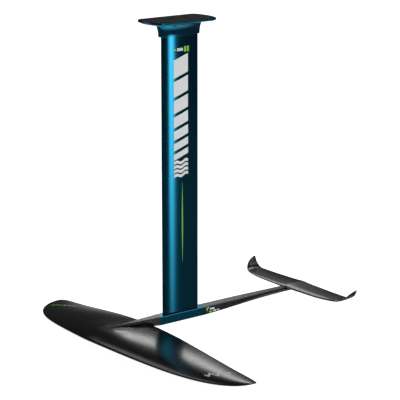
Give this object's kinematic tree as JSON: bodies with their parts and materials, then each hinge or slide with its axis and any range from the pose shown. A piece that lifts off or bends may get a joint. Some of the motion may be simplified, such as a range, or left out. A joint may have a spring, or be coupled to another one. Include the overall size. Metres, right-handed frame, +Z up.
{
  "type": "hydrofoil set",
  "caption": "Mast on a board plate, standing on a slim fuselage that carries a broad front wing and a small tail wing with upturned tips.",
  "frame": {"origin": "on the face that meets the board, in line with the middle of the mast's chord", "axes": "+Z up towards the board, -Y forward in the direction of travel, +X to port"},
  "size_m": [0.9318, 0.8057, 0.9148],
  "materials": {
    "blue_anodised": "satin blue anodising with a soft metallic sheen",
    "black_anodised": "satin black anodising",
    "black_laminate": "black clear-coated fibre laminate, satin to gloss",
    "black_rubber": "matt black sheet rubber",
    "stainless": "plain stainless steel",
    "brass": "turned brass",
    "bare_alloy": "machined bare aluminium"
  },
  "bodies": {
    "root": {"board_pad": "black_rubber", "mast_head": "blue_anodised", "head_screw_front": "stainless", "head_screw_rear": "stainless", "head_plug": "bare_alloy", "mast": "blue_anodised", "foot_plug": "bare_alloy", "foot_gasket": "black_rubber", "mast_foot": "blue_anodised", "foot_screw_front": "stainless", "foot_screw_rear": "stainless", "front_fuselage": "black_anodised", "front_spigot": "bare_alloy", "rear_spigot": "bare_alloy", "rear_fuselage": "black_anodised", "join_screw_tongue": "stainless", "join_screw_foot_front": "stainless", "join_screw_foot_rear": "stainless", "join_screw_boom": "stainless", "front_wing": "black_laminate", "wing_ferrule_front": "stainless", "wing_ferrule_middle": "stainless", "wing_ferrule_rear": "stainless", "wing_screw_front": "stainless", "wing_screw_middle": "stainless", "wing_screw_rear": "stainless", "tail_wing": "black_laminate", "tail_insert_front": "brass", "tail_insert_rear": "brass", "tail_screw_front": "stainless", "tail_screw_rear": "stainless"}
  },
  "joints": []
}
